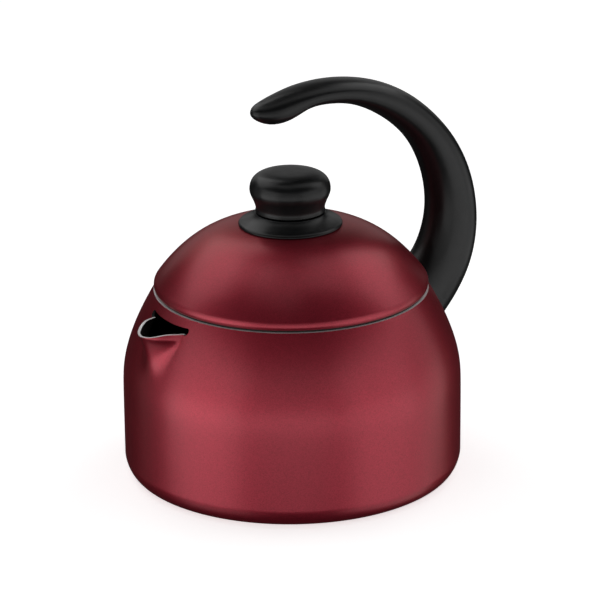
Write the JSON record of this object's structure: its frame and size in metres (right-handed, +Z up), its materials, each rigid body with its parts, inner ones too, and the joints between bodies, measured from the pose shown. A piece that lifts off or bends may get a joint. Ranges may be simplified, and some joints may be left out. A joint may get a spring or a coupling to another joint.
{
  "type": "stovetop whistling kettle",
  "caption": "Squat round stovetop kettle with a pressed pouring beak, a lift-off domed lid with a whistle in its knob, and an open-ended arched side handle.",
  "frame": {"origin": "centre of the flat face the kettle stands on, on the axis of the round body", "axes": "+Z up along the body's axis; -X towards the pouring beak; +X towards the handle"},
  "size_m": [0.2042, 0.177, 0.2055],
  "materials": {
    "red_coating": "satin metallic dark red outside, dark non-stick lining inside",
    "black_phenolic": "satin moulded phenolic",
    "bare_aluminium": "plain cold-headed",
    "stainless": "plain stainless sheet",
    "zinc_steel": "zinc-plated",
    "brass": "turned",
    "silicone": "moulded silicone"
  },
  "bodies": {
    "kettle": {"body_shell": "red_coating", "handle_grip": "black_phenolic", "handle_bracket": "zinc_steel", "bracket_rivets": "bare_aluminium", "handle_nut": "zinc_steel", "handle_screw": "zinc_steel", "handle_lock_washer": "zinc_steel"},
    "lid": {"lid_shell": "red_coating", "knob_skirt": "black_phenolic", "knob_grip": "black_phenolic", "knob_screws": "stainless", "steam_stud": "brass", "stud_gasket": "silicone", "stud_washer": "stainless", "stud_nut": "brass", "whistle_case": "stainless", "whistle_lower_disc": "stainless", "whistle_upper_disc": "stainless"}
  },
  "joints": [
    {"name": "lid_lift", "type": "slide", "parent": "kettle", "child": "lid", "axis": [0, 0, 1], "range_m": [0, 0.023]}
  ]
}
